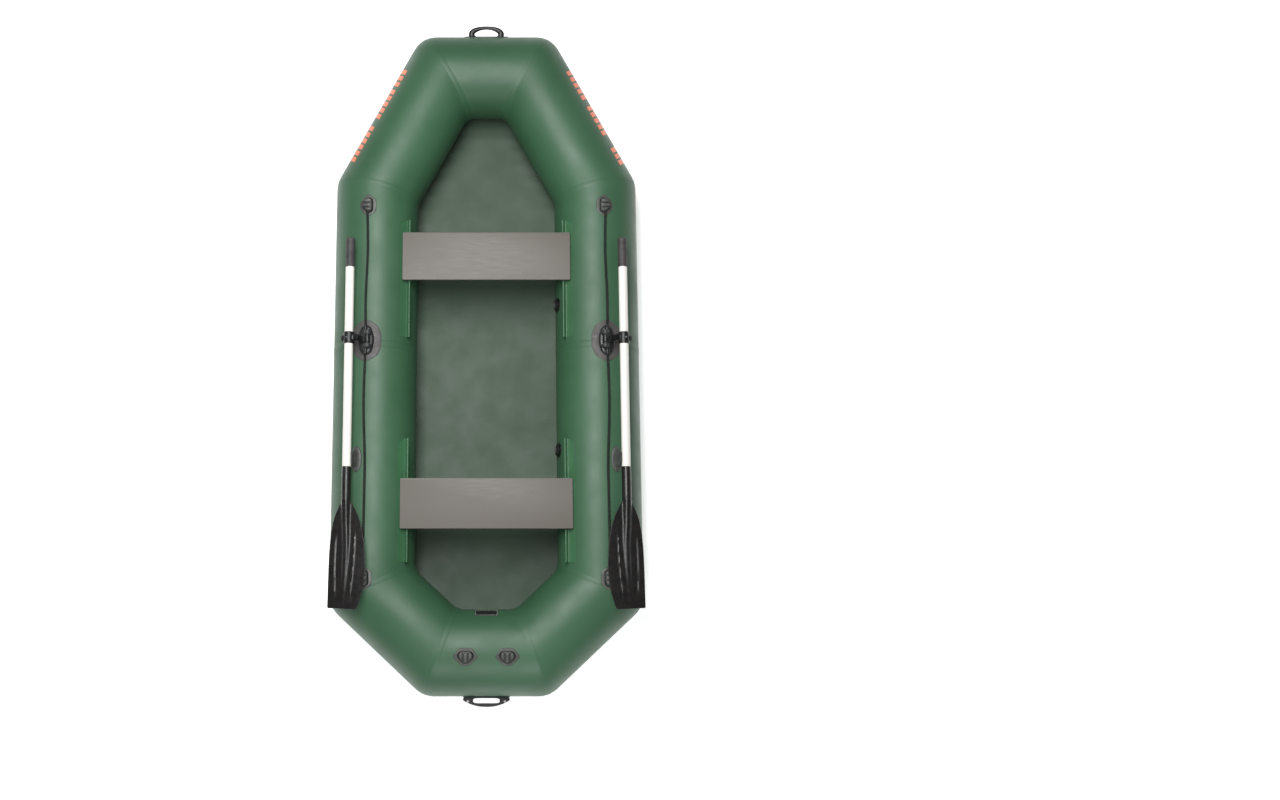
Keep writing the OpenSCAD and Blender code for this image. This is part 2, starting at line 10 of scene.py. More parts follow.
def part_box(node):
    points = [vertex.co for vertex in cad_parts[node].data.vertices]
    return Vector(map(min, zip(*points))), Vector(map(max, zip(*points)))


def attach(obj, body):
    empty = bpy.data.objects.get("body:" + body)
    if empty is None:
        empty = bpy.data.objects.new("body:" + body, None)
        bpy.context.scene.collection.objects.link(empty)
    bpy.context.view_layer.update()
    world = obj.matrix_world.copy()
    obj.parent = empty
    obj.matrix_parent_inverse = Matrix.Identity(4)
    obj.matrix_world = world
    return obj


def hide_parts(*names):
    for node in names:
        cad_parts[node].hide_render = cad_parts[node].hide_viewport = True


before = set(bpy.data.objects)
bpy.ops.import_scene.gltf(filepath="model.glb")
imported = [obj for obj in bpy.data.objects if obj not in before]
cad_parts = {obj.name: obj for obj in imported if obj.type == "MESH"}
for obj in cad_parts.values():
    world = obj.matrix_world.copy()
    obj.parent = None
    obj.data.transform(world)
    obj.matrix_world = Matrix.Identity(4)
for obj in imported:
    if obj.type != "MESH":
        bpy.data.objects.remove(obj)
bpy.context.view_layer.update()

scene = bpy.context.scene

# Driving dimensions of the hull.
HULL_L = 2.8
HULL_W = 1.27
R = 0.1725
BOW_W = 0.568
STERN_W = 0.504
BOW_RUN = 0.658
STERN_RUN = 0.356
SEAM_Y = 0.009
TUBE_X = HULL_W / 2 - R
TUBE_Y = HULL_L / 2 - R
ROPE_R = 0.005
SIDES = {"starboard": 1, "port": -1}


# ======== Camera

def add_camera():
    data = bpy.data.cameras.new("camera")
    data.sensor_width = 36.0
    data.lens = 41.47
    data.shift_x = 0.12
    data.shift_y = 0.0085
    data.clip_end = 80.0
    camera = bpy.data.objects.new("camera", data)
    camera.location = (0.0, -1.383, 6.173)
    camera.rotation_euler = (radians(10.8), 0.0, 0.0)
    scene.collection.objects.link(camera)
    scene.camera = camera


add_camera()


# ======== Materials

class Paint:
    """A Principled material whose colour, roughness and bump come from textures in the object's space."""

    def __init__(self, name, **sockets):
        self.material = bpy.data.materials.new(name)
        self.material.use_nodes = True
        self.tree = self.material.node_tree
        self.shader = self.tree.nodes["Principled BSDF"]
        self.place = self.node("ShaderNodeTexCoord").outputs["Object"]
        self.relief = None
        for socket, value in sockets.items():
            self.shader.inputs[socket.replace("_", " ")].default_value = value

    def node(self, kind, **values):
        made = self.tree.nodes.new(kind)
        for name, value in values.items():
            if name in made.inputs:
                made.inputs[name].default_value = value
            else:
                setattr(made, name, value)
        return made

    def link(self, source, target):
        self.tree.links.new(source, target)

    def noise(self, scale, detail=3.0, stretch=(1, 1, 1)):
        placed = self.node("ShaderNodeMapping", Scale=stretch)
        self.link(self.place, placed.inputs["Vector"])
        made = self.node("ShaderNodeTexNoise", Scale=scale, Detail=detail)
        self.link(placed.outputs["Vector"], made.inputs["Vector"])
        return made.outputs["Fac"]

    def waves(self, direction, per_metre, place):
        made = self.node("ShaderNodeTexWave", bands_direction=direction, Scale=per_metre / 20 * tau)
        self.link(place, made.inputs["Vector"])
        return made.outputs["Fac"]

    def math(self, operation, a, b):
        made = self.node("ShaderNodeMath", operation=operation)
        for value, socket in ((a, made.inputs[0]), (b, made.inputs[1])):
            if isinstance(value, (int, float)):
                socket.default_value = value
            else:
                self.link(value, socket)
        return made.outputs[0]

    def colours(self, factor, *stops):
        ramp = self.node("ShaderNodeValToRGB")
        elements = ramp.color_ramp.elements
        while len(elements) < len(stops):
            elements.new(0.5)
        for element, (position, colour) in zip(elements, stops):
            element.position = position
            element.color = linear(colour)
        self.link(factor, ramp.inputs[0])
        self.link(ramp.outputs["Color"], self.shader.inputs["Base Color"])
        return self

    def rough(self, factor, low, high):
        limits = {"From Min": 0.3, "From Max": 0.7, "To Min": low, "To Max": high}
        span = self.node("ShaderNodeMapRange", **limits)
        self.link(factor, span.inputs["Value"])
        self.link(span.outputs[0], self.shader.inputs["Roughness"])
        return self

    def bump(self, height, strength, distance):
        made = self.node("ShaderNodeBump", Strength=strength, Distance=distance)
        self.link(height, made.inputs["Height"])
        if self.relief:
            self.link(self.relief, made.inputs["Normal"])
        self.relief = made.outputs["Normal"]
        self.link(self.relief, self.shader.inputs["Normal"])
        return self


def linear(rgb):
    """A 0-255 screen colour as a linear RGBA one."""
    level = [c / 255 for c in rgb]
    return (*[c / 12.92 if c < 0.04 else ((c + 0.055) / 1.055) ** 2.4 for c in level], 1.0)


def coated_fabric(name, light, dark, roughness):
    """PVC-coated polyester: the threads show faintly through a satin skin, which is scuffed in places."""
    paint = Paint(name, Specular_IOR_Level=0.5)
    cloth = paint.node("ShaderNodeUVMap", uv_map="cloth").outputs["UV"]
    weave = paint.math("MULTIPLY", paint.waves("X", 620, cloth), paint.waves("Y", 620, cloth))
    broad = paint.noise(2.2, 4.0)
    paint.colours(broad, (0.32, dark), (0.68, light))
    paint.rough(paint.noise(9.0, 6.0), roughness - 0.05, roughness + 0.07)
    paint.bump(weave, 0.12, 0.0004)
    return paint.bump(paint.noise(38.0, 3.0), 0.07, 0.002).material


def moulded(name, light, dark, roughness):
    """Moulded plastic or rubber: a fine spark-eroded grain, with rubbed and dusty patches."""
    paint = Paint(name, Specular_IOR_Level=0.45)
    paint.colours(paint.noise(34.0, 5.0), (0.3, dark), (0.72, light))
    paint.rough(paint.noise(60.0, 5.0), roughness - 0.08, roughness + 0.1)
    return paint.bump(paint.noise(900.0, 2.0), 0.16, 0.0004).material


def drawn_metal(name, light, dark, roughness, metallic, stretch):
    """Drawn or turned metal, with fine lines along its length."""
    paint = Paint(name, Metallic=metallic)
    lines = paint.noise(600.0, 4.0, stretch)
    paint.colours(lines, (0.3, dark), (0.7, light))
    paint.rough(lines, roughness - 0.05, roughness + 0.08)
    return paint.bump(lines, 0.08, 0.0002).material


def bench_film():
    """Phenolic-filmed plywood: a fine grain across the boat, and pale plies on the sawn edges."""
    paint = Paint("bench_film", Specular_IOR_Level=0.5)
    grain = paint.noise(260.0, 5.0, (0.05, 1, 1))
    cloudy = paint.noise(5.0, 3.0, (0.5, 1, 1))
    mixed = paint.math("ADD", paint.math("MULTIPLY", grain, 0.7), paint.math("MULTIPLY", cloudy, 0.3))
    paint.colours(mixed, (0.3, (88, 83, 77)), (0.7, (95, 90, 84)))
    paint.rough(grain, 0.46, 0.6)
    return paint.bump(grain, 0.16, 0.0003).material


def rope_fibre():
    """Laid polypropylene rope: thin fibres along each strand."""
    paint = Paint("rope_fibre", Specular_IOR_Level=0.35)
    fibres = paint.noise(1500.0, 3.0, (1, 0.25, 1))
    paint.colours(fibres, (0.3, (10, 12, 11)), (0.7, (34, 38, 35)))
    paint.rough(paint.noise(120.0, 3.0), 0.5, 0.72)
    return paint.bump(fibres, 0.35, 0.0004).material


GREEN = coated_fabric("hull_pvc", (52, 89, 63), (46, 81, 56), 0.5)
SEAM = coated_fabric("seam_pvc", (51, 88, 62), (45, 80, 55), 0.5)
RAIL = coated_fabric("rail_pvc", (50, 94, 62), (42, 82, 53), 0.36)
FLOOR = coated_fabric("floor_pvc", (54, 74, 56), (50, 68, 52), 0.6)
BENCH = bench_film()
RUBBER = moulded("patch_rubber", (73, 71, 70), (62, 60, 59), 0.55)
EYE = moulded("eye_rubber", (74, 76, 72), (58, 60, 57), 0.42)
BLACK = moulded("black_plastic", (26, 27, 28), (17, 18, 19), 0.38)
GUIDE = moulded("guide_plastic", (66, 66, 64), (52, 52, 50), 0.45)
BLADE = moulded("blade_plastic", (29, 27, 26), (18, 17, 17), 0.33)
GRIP = moulded("grip_rubber", (66, 63, 64), (48, 46, 47), 0.62)
PLUNGER = moulded("plunger_plastic", (186, 188, 186), (168, 170, 168), 0.4)
DARK_STEEL = drawn_metal("black_steel", (62, 63, 64), (46, 47, 48), 0.42, 1.0, (1, 1, 0.2))
LUG = moulded("lug_plastic", (54, 55, 56), (42, 43, 44), 0.5)
ALUMINIUM = drawn_metal("oar_enamel", (226, 224, 218), (216, 214, 208), 0.42, 0.0, (1, 0.02, 1))
STEEL = drawn_metal("screw_steel", (196, 198, 200), (160, 163, 166), 0.26, 1.0, (1, 1, 0.2))
ROPE = rope_fibre()
ORANGE = coated_fabric("stripe_vinyl", (238, 112, 58), (226, 100, 48), 0.4)
LABEL = moulded("label_film", (34, 36, 35), (26, 28, 27), 0.35)
BORDER = moulded("label_border", (168, 172, 168), (150, 154, 150), 0.4)


# ======== Meshes

def mesh_piece(name, shells, material, body="hull", replaces=(), at=None, crease=38, uv=None):
    """One piece from shells of (points, faces), moved by a matrix that may mirror it."""
    points, faces = [], []
    for shell_points, shell_faces in shells:
        start = len(points)
        points.extend(at @ Vector(p) if at else Vector(p) for p in shell_points)
        faces.extend([i + start for i in face] for face in shell_faces)
    mesh = bpy.data.meshes.new(name)
    mesh.from_pydata(points, [], faces)
    work = bmesh.new()
    work.from_mesh(mesh)
    bmesh.ops.recalc_face_normals(work, faces=work.faces)
    work.to_mesh(mesh)
    work.free()
    piece = bpy.data.objects.new(name, mesh)
    scene.collection.objects.link(piece)
    mesh.materials.append(material)
    mesh.shade_smooth()
    mesh.set_sharp_from_angle(angle=radians(crease))
    layer = mesh.uv_layers.new(name="cloth")
    for loop in mesh.loops:
        co = mesh.vertices[loop.vertex_index].co
        layer.data[loop.index].uv = uv[loop.vertex_index] if uv else (co.x + co.z, co.y)
    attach(piece, body)
    if replaces:
        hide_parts(*replaces)
    return piece


def loft(rings, closed=False):
    """A skin over rings of as many points each, capped at both ends unless it closes on itself."""
    n = len(rings[0])
    count = len(rings)
    points = [p for ring in rings for p in ring]
    faces = []
    for i in range(count if closed else count - 1):
        a, b = i * n, (i + 1) % count * n
        faces.extend([a + k, a + (k + 1) % n, b + (k + 1) % n, b + k] for k in range(n))
    if not closed:
        faces.append(list(range(n))[::-1])
        faces.append([(count - 1) * n + k for k in range(n)])
    return points, faces


def lathe(profile, n=40, lobes=0, depth=0.0, closed=False):
    """Turned about Z from (radius, height) pairs, with lobes cut round it; a closed profile leaves a bore."""
    rings = []
    for radius, height in profile:
        ring = []
        for k in range(n):
            a = tau * k / n
            reach = radius * (1 - depth * (0.5 - 0.5 * cos(lobes * a)))
            ring.append((reach * cos(a), reach * sin(a), height))
        rings.append(ring)
    return loft(rings, closed)


def curve(start, tip, end, steps):
    """A quadratic curve from start to end, pulled towards tip."""
    return [(1 - t) ** 2 * start + 2 * t * (1 - t) * tip + t * t * end
            for t in (k / steps for k in range(steps + 1))]


def rectangle(x, y, radius):
    """A rounded rectangle's outline, from its half sizes."""
    return rounded([(-x, -y), (x, -y), (x, y), (-x, y)], radius)


def symmetric(corners):
    """Corners on the +Y side, and the same on the -Y side."""
    return corners + [(x, -y) for x, y in reversed(corners)]


def softened(half, edge):
    """(Inset, height) steps from -half to half that round off both edges."""
    low = [(edge, -half), (0.3 * edge, 0.3 * edge - half), (0, edge - half)]
    return low + [(by, -z) for by, z in reversed(low)]


def rounded(corners, radius, steps=5):
    """A convex outline with its corners rounded off."""
    outline = []
    n = len(corners)
    for i in range(n):
        before, here, after = (Vector(corners[j % n]) for j in (i - 1, i, i + 1))
        reach = min(radius, 0.45 * (before - here).length, 0.45 * (after - here).length)
        a = here + (before - here).normalized() * reach
        b = here + (after - here).normalized() * reach
        outline += curve(a, here, b, steps)
    return outline


def shrunk(outline, by):
    """The outline moved in by a distance, towards its middle on each axis."""
    centre = sum(outline, Vector((0, 0))) / len(outline)
    half_x = max(abs(p.x - centre.x) for p in outline)
    half_y = max(abs(p.y - centre.y) for p in outline)
    size = Vector((max(0.0, 1 - by / half_x), max(0.0, 1 - by / half_y)))
    return [centre + (p - centre) * size for p in outline]


def layers(outline, steps):
    """Rings of an outline, one for each (inset, height) step."""
    return [[(p.x, p.y, height) for p in shrunk(outline, by)] for by, height in steps]


def pillow(outline, steps, bottom=0.0):
    """A solid over an outline, from (inset, height) steps that end in a flat top."""
    return loft(layers(outline, [(0, bottom), *steps]))


def slab(size, thickness, corner, edge):
    """A board with rounded corners and softened edges, its middle at the origin."""
    return loft(layers(rectangle(size[0] / 2, size[1] / 2, corner), softened(thickness / 2, edge)))


def swept(path, sizes, n, squash):
    """An oval bar along a path in the XY plane of its own frame, with a size at each point."""
    rings = []
    side = Vector((0, 0, 1))
    for i, p in enumerate(path):
        ahead = (path[min(i + 1, len(path) - 1)] - path[max(i - 1, 0)]).normalized()
        up = side.cross(ahead).normalized()
        rings.append([p + sizes[i] * (up * cos(a) + side * (squash * sin(a)))
                      for a in (tau * k / n for k in range(n))])
    return loft(rings)


def grid_faces(rows, columns, start=0):
    """Quads between the points of a grid, which are listed row by row."""
    n = columns + 1
    corners = [start + i * n + k for i in range(rows) for k in range(columns)]
    return [[a, a + 1, a + n + 1, a + n] for a in corners]


def sheet_shell(top, under, rows, columns):
    """A closed thin solid between two grids of points."""
    n, size = columns + 1, len(top)
    faces = grid_faces(rows, columns) + [face[::-1] for face in grid_faces(rows, columns, size)]
    border = list(range(n)) + [i * n + columns for i in range(1, rows + 1)]
    border += [rows * n + k for k in range(columns - 1, -1, -1)] + [i * n for i in range(rows - 1, 0, -1)]
    faces += [[a, size + a, size + b, b] for a, b in zip(border, border[1:] + border[:1])]
    return top + under, faces


def power(value, exponent):
    """A power that keeps the value's sign."""
    return copysign(abs(value) ** exponent, value)


def superellipse(n=28, exponent=0.45):
    """Points of a squarish oval, as pairs of cosine and sine."""
    return [(power(cos(a), exponent), power(sin(a), exponent)) for a in (tau * k / n for k in range(n))]


def turned(shell, matrix):
    return [matrix @ Vector(p) for p in shell[0]], shell[1]


def moved(shell, x=0.0, y=0.0, z=0.0):
    return turned(shell, Matrix.Translation((x, y, z)))


def mirrored(side, matrix):
    """A starboard frame as it is, or its mirror image to port."""
    return matrix if side > 0 else Matrix.Diagonal((-1, 1, 1, 1)) @ matrix


def middle_of(name):
    low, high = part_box(name)
    return (low + high) / 2


# ======== The hull's plan

OUTLINE = [Vector(p) for p in (
    (0, HULL_L / 2), (BOW_W / 2, HULL_L / 2), (HULL_W / 2, HULL_L / 2 - BOW_RUN),
    (HULL_W / 2, STERN_RUN - HULL_L / 2), (STERN_W / 2, -HULL_L / 2), (0, -HULL_L / 2))]


def inward(i):
    d = (OUTLINE[i + 1] - OUTLINE[i]).normalized()
    return Vector((d.y, -d.x))


def inset(i, by):
    """Corner i of the plan, moved in so that both its sides move in by the same distance."""
    a, b = inward(i - 1), inward(i)
    return OUTLINE[i] + by * (a + b) / (1 + a.dot(b))


BOW, FORE, AFT, STERN = (inset(i, R) for i in (1, 2, 3, 4))


def port_of(p):
    return Vector((-p.x, p.y))


SEAM_AT = {1: Vector((TUBE_X, SEAM_Y)), -1: Vector((-TUBE_X, SEAM_Y))}
FORE_PATH = [SEAM_AT[-1], port_of(FORE), port_of(BOW), BOW, FORE, SEAM_AT[1]]
AFT_PATH = [SEAM_AT[1], AFT, STERN, port_of(STERN), port_of(AFT), SEAM_AT[-1]]
AROUND = 96  # points round a tube
CREASE = 0.03  # how far a bend's inner fold is drawn along the tube


def bend_at(path, i, q):
    """The offset line's bend at corner i: its start, tip and end. It is rounder outside than inside."""
    before = (path[i] - path[i - 1]).normalized()
    after = (path[i + 1] - path[i]).normalized()
    n1, n2 = Vector((-before.y, before.x)), Vector((-after.y, after.x))
    tip = path[i] + q * (n1 + n2) / (1 + n1.dot(n2))
    half = 0.5 * acos(min(1.0, n1.dot(n2)))
    pull = 0.004 + (0.64 * q * tan(half) if q > 0 else CREASE * -q / R)
    return tip - before * pull, tip, tip + after * pull


def offset_line(path, q, step):
    """Plan points along a path, offset outward by q."""
    way = (path[1] - path[0]).normalized()
    here = path[0] + q * Vector((-way.y, way.x))
    points = [here]
    for i in range(1, len(path)):
        count = max(3, round((path[i] - path[i - 1]).length / step))
        if i == len(path) - 1:
            way = (path[i] - path[i - 1]).normalized()
            start = path[i] + q * Vector((-way.y, way.x))
        else:
            start, tip, end = bend_at(path, i, q)
        points += [here.lerp(start, k / count) for k in range(1, count + 1)]
        if i < len(path) - 1:
            points += curve(start, tip, end, 10)[1:]
            here = end
    return points


def chamber(name, path, replaces):
    """One air chamber: a bent tube of coated fabric, pulled tight, with small puckers inside each bend."""
    angles = [tau * k / AROUND for k in range(AROUND)]
    lines = [[Vector((p.x, p.y, R + R * cos(a))) for p in offset_line(path, R * sin(a), 0.022)]
             for a in angles]
    rings = list(zip(*lines))
    run = 0.0
    uv = []
    for i, ring in enumerate(rings):
        if i:
            run += sum((ring[k] - rings[i - 1][k]).length for k in (0, AROUND // 2)) / 2
        uv += [(a * R, run) for a in angles]
    rings = [[p + pucker(p, a, path) for a, p in zip(angles, ring)] for ring in rings]
    piece = mesh_piece(name, [loft(rings)], GREEN, replaces=replaces, uv=uv)
    return piece


def pucker(p, a, path):
    """Short radial folds inside a bend, and a faint unevenness everywhere."""
    inner = max(0.0, -sin(a))
    near = min((p.xy - c).length for c in path[1:-1])
    mitre = abs(near - R * inner) if inner else near
    fold = 0.0012 * inner ** 1.5 * exp(-(mitre / 0.05) ** 2) * cos(13 * a)
    wave = 0.0009 * noise.noise(p * 3.1)
    return Vector((0, 0, cos(a) * (fold + wave)))


def hull_nodes(*names):
    return [f"{side}_{n}" for side in SIDES for n in names]


FORE_CHAMBER = chamber("fore_chamber", FORE_PATH, ["bow_tube", *hull_nodes("bow_quarter", "fore_side")])
AFT_CHAMBER = chamber("aft_chamber", AFT_PATH, ["stern_tube", *hull_nodes("stern_quarter", "aft_side")])
TREES = [BVHTree.FromPolygons([v.co for v in piece.data.vertices],
                              [tuple(face.vertices) for face in piece.data.polygons])
         for piece in (FORE_CHAMBER, AFT_CHAMBER)]
RING = FORE_PATH + AFT_PATH[1:]


def on_axis(p):
    """The nearest point of the tubes' centre line."""
    spots = []
    for a, b in zip(RING, RING[1:]):
        way = b - a
        spots.append(a + way * max(0.0, min(1.0, (p.xy - a).dot(way) / way.dot(way))))
    spot = min(spots, key=lambda c: (p.xy - c).length)
    return Vector((spot.x, spot.y, R))


def snap(p, height):
    """p moved along the tube's radius to a height above the hull's skin."""
    p = Vector(p)
    axis = on_axis(p)
    out = (p - axis).normalized()
    reach = [hit[3] for hit in (tree.ray_cast(axis, out, 2 * R) for tree in TREES) if hit[0]]
    far = max([d for d in reach if 0.9 * R < d < 1.2 * R], default=R)
    return axis + out * (far + height)


def wrapped(shell, at):
    """A flat pad with its heights over the skin, wrapped round the hull where a matrix puts it."""
    points = []
    for x, y, h in shell[0]:
        a = x / R
        p = at @ Vector((R * sin(a), y, R * cos(a)))
        points.append(snap(p, h))
    return points, shell[1]


def on_side(side, y, angle):
    """A frame on the side tube's axis, with +Z out of the tube at an angle from the top."""
    return mirrored(side, Matrix.Translation((TUBE_X, y, R)) @ Matrix.Rotation(radians(angle), 4, "Y"))


def end_turn(angle):
    """The turn of a frame on an end tube: +Z leans towards the stern, and +Y runs along the tube."""
    return Matrix.Rotation(radians(angle), 4, "X") @ Matrix.Rotation(radians(-90), 4, "Z")


def on_stern(x, angle):
    """A frame on the stern tube's axis, with +Z out of the tube at an angle from the top."""
    return Matrix.Translation((x, -TUBE_Y, R)) @ end_turn(angle)


# ======== Grab lines

GRAB_ROUTE = [
    (.491, .592, .3515), (.491, .560, .3515), (.490, .538, .350), (.489, .505, .3488), (.488, .460, .349),
    (.487, .400, .349), (.489, .320, .349), (.492, .240, .3485), (.493, .170, .3485), (.492, .112, .350),
    (.491, .080, .3513), (.491, .021, .3513), (.491, -.038, .3513), (.492, -.072, .350),
    (.494, -.140, .348), (.495, -.220, .348), (.493, -.310, .3485), (.489, -.400, .349),
    (.486, -.490, .3493), (.4865, -.580, .3493), (.487, -.670, .3493), (.4875, -.760, .3492),
    (.4877, -.850, .3495), (.4877, -.900, .3515), (.4877, -.938, .3517)]


def smooth_route(points, step):
    """A smooth curve through the points, in even short steps."""
    n = len(points) - 1
    route = [points[0]]
    for i in range(n):
        a, b, c, d = points[max(i - 1, 0)], points[i], points[i + 1], points[min(i + 2, n)]
        count = max(1, round((c - b).length / step))
        for k in range(1, count + 1):
            t = k / count
            route.append(0.5 * (2 * b + (c - a) * t + (2 * a - 5 * b + 4 * c - d) * t * t
                                + (3 * b - a - 3 * c + d) * t ** 3))
    return route


def grab_line(name, side):
    """Two strands twisted together, from the fore eye through the oarlock's base to the aft eye."""
    route = smooth_route([Vector((side * x, y, z)) for x, y, z in GRAB_ROUTE], 0.0015)
    lay = 0.021
    around = 18
    rings = []
    run = 0.0
    for i, p in enumerate(route):
        ahead = (route[min(i + 1, len(route) - 1)] - route[max(i - 1, 0)]).normalized()
        across = ahead.cross(Vector((0, 0, 1))).normalized()
        up = across.cross(ahead)
        if i:
            run += (p - route[i - 1]).length
        ring = []
        for k in range(around):
            a = tau * k / around
            lobe = abs(cos(a - tau * run / lay))
            ring.append(p + ROPE_R * max(1.16 * lobe, 0.42) * (cos(a) * across + sin(a) * up))
        rings.append(ring)
    piece = mesh_piece(name, [loft(rings)], ROPE, replaces=[name], crease=100)


for hand, side in SIDES.items():
    grab_line(f"{hand}_grab_line", side)


# ======== Floor

def floor_cloth():
    """The floor: one sheet stretched between the tubes' undersides, with faint ripples near them."""
    low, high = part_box("floor_sheet")
    half = 0.5 * (high.z - low.z)
    reach = R + sqrt(R * R - (R - low.z) ** 2)
    bow, fore, aft, stern = (inset(i, reach) for i in (1, 2, 3, 4))
    edge = [stern, aft, fore, bow]

    def width(y):
        for a, b in zip(edge, edge[1:]):
            if y <= b.y + 1e-9:
                return a.x + (b.x - a.x) * (y - a.y) / (b.y - a.y)
        return bow.x

    rows, columns = 150, 56
    ys = [stern.y + (bow.y - stern.y) * i / rows for i in range(rows + 1)]
    top, under = [], []
    for y in ys:
        for k in range(columns + 1):
            x = width(y) * (2 * k / columns - 1)
            rim = min(width(y) - abs(x), bow.y - y, y - stern.y)
            slack = 0.0009 * noise.noise(Vector((x * 4.5, y * 4.5, 0.3)))
            phase = y * 95 + 3 * noise.noise(Vector((0, y * 6, 1)))
            ripple = 0.0007 * exp(-((rim - 0.1) / 0.05) ** 2) * sin(phase)
            z = low.z + half + (slack + ripple) * min(1.0, rim / 0.06)
            top.append((x, y, z + half))
            under.append((x, y, z - half))
    uv = [(p[0], p[1]) for p in top + under]
    shell = sheet_shell(top, under, rows, columns)
    piece = mesh_piece("floor_cloth", [shell], FLOOR, replaces=["floor_sheet"], uv=uv)


floor_cloth()


# ======== Seams and stripes

def band(name, centre, along, width=0.03, thick=0.0007):
    """A tape glued round the tube over a seam, in the plane through centre square to along."""
    n = 96
    across = Vector((along.y, -along.x, 0))
    steps = [(-0.5, 0.0), (-0.46, 1.0), (0.0, 1.15), (0.46, 1.0), (0.5, 0.0)]
    rings = []
    for k in range(n):
        a = tau * k / n
        out = across * sin(a) + Vector((0, 0, cos(a)))
        foot = Vector((centre.x, centre.y, R)) + out * R
        shift = Vector((along.x, along.y, 0)) * width
        ring = [snap(foot + shift * s, thick * h) for s, h in steps]
        ring += [snap(foot + shift * s, -0.002) for s in (0.5, 0.0, -0.5)]
        rings.append(ring)
    mesh_piece(name, [loft(rings, closed=True)], SEAM)


def corner_seam(name, path, i, width=0.02, thick=0.0003):
    """A tape over the mitre at corner i, folded with the skin."""
    section = [(-0.5, 0.0), (-0.45, 1.0), (0.0, 1.1), (0.45, 1.0), (0.5, 0.0), (0.5, -3.0), (-0.5, -3.0)]
    n = 96
    rings = []
    for k in range(n):
        a = tau * k / n
        ring = []
        for along, height in section:
            reach = R + thick * height
            start, tip, end = bend_at(path, i, reach * sin(a))
            line = [start + (start - tip).normalized() * 0.05, *curve(start, tip, end, 12),
                    end + (end - tip).normalized() * 0.05]
            spot = past_middle(line, along * width)
            p = Vector((spot.x, spot.y, R + reach * cos(a)))
            ring.append(p + pucker(p, a, path))
        rings.append(ring)
    mesh_piece(name, [loft(rings, closed=True)], SEAM)


def past_middle(line, by):
    """The point of a line that is a distance past its middle."""
    steps = [(b - a).length for a, b in zip(line, line[1:])]
    left = sum(steps) / 2 + by
    for a, b, step in zip(line, line[1:], steps):
        if left <= step:
            return a.lerp(b, left / step)
        left -= step
    return line[-1]


def seams():
    for hand, side in SIDES.items():
        band(f"{hand}_middle_seam", SEAM_AT[side], Vector((0, 1)))
    for part, path in (("bow", FORE_PATH), ("stern", AFT_PATH)):
        for i in range(1, 5):
            hand = "starboard" if path[i].x > 0 else "port"
            place = "side" if abs(path[i].x) > 0.4 else "end"
            corner_seam(f"{hand}_{part}_{place}_seam", path, i)


def stroke(start, way, out, length, middle):
    """One slanted stroke of vinyl on a quarter's outer face."""
    width, slant, columns = 0.022, 0.014, 4
    points = []
    levels = [(49, -0.0006), *((49.4 + 2 * k, 0.0004) for k in range(20)), (87.8, -0.0006)]
    for edge, height in levels:
        down = sin(radians(edge))
        for k in range(columns + 1):
            foot = start + way * (length * middle + width * (k / columns - 0.5) + slant * (68 - edge) / 20)
            p = Vector((foot.x, foot.y, R)) + R * Vector((out.x * down, out.y * down, cos(radians(edge))))
            points.append(snap(p, height))
    return points, grid_faces(len(levels) - 1, columns)


def stripes():
    """Rows of plain slanted strokes on the outer face of each bow quarter."""
    for hand, side in SIDES.items():
        start, end = (BOW, FORE) if side > 0 else (port_of(BOW), port_of(FORE))
        way = (end - start).normalized()
        out = Vector((-way.y, way.x)) * side
        length = (end - start).length
        groups = {"port": ((0.14, 3), (0.31, 5), (0.62, 6)), "starboard": ((0.15, 5), (0.45, 5), (0.80, 3))}
        shells = [stroke(start, way, out, length, first + 0.031 / length * k)
                  for first, count in groups[hand] for k in range(count)]
        mesh_piece(f"{hand}_bow_strokes", shells, ORANGE)


seams()
stripes()


# ======== Seat rails and benches

def rail(name, side):
    """A glued-on bolt-rope rail: a thin foot on the tube, a web and a round bead."""
    low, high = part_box(name)
    foot_in, foot_out, thick = 0.016, 0.034, 0.0014
    bead = 0.004
    web = 0.0015
    top = 0.016
    section = [(-foot_in, -0.001), (-foot_in, 0.0004), (-foot_in + 0.003, thick), (-0.004, thick),
               (-web, 0.0035), (-web, top - bead)]
    section += [(bead * sin(radians(a)), top - bead * cos(radians(a))) for a in range(-40, -321, -28)]
    section += [(web, top - bead), (web, 0.0035), (0.004, thick), (foot_out - 0.003, thick),
                (foot_out, 0.0004), (foot_out, -0.001)]
    inner = min(abs(low.x), abs(high.x)) + bead
    angle = -asin((TUBE_X - inner) / (R + top))
    frame_at = on_side(side, 0, 0) @ Matrix.Rotation(angle, 4, "Y")
    rings = []
    steps = 44
    for i in range(steps + 1):
        t = i / steps
        ring = []
        for x, h in section:
            y = low.y + (high.y - low.y) * t
            y -= 0.5 * max(0.0, x - 0.003) * t ** 8
            flutter = 0.0024 * noise.noise(Vector((y * 16, side, low.y))) * max(0.0, x - 0.006) / foot_out
            a = x / R
            ring.append(frame_at @ Vector(((R + h + flutter) * sin(a), y, (R + h + flutter) * cos(a))))
        rings.append(ring)
    mesh_piece(name + "_profile", [loft(rings)], RAIL, replaces=[name])


for hand, side in SIDES.items():
    for end in ("fore", "aft"):
        rail(f"{hand}_{end}_rail", side)


def bench(end):
    low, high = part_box(f"{end}_bench_board")
    size = high - low
    at = Matrix.Translation((low + high) / 2)
    board = slab((size.x, size.y), size.z, 0.006, 0.0016)
    mesh_piece(f"{end}_bench_top", [board], BENCH, f"{end}_bench", [f"{end}_bench_board"], at)


bench("fore")
bench("aft")


# ======== Pads and eyes

def octagon(width, length, corner, radius):
    x, y = width / 2, length / 2
    return rounded(symmetric([(-x, y - corner), (corner - x, y), (x - corner, y), (x, y - corner)]), radius)


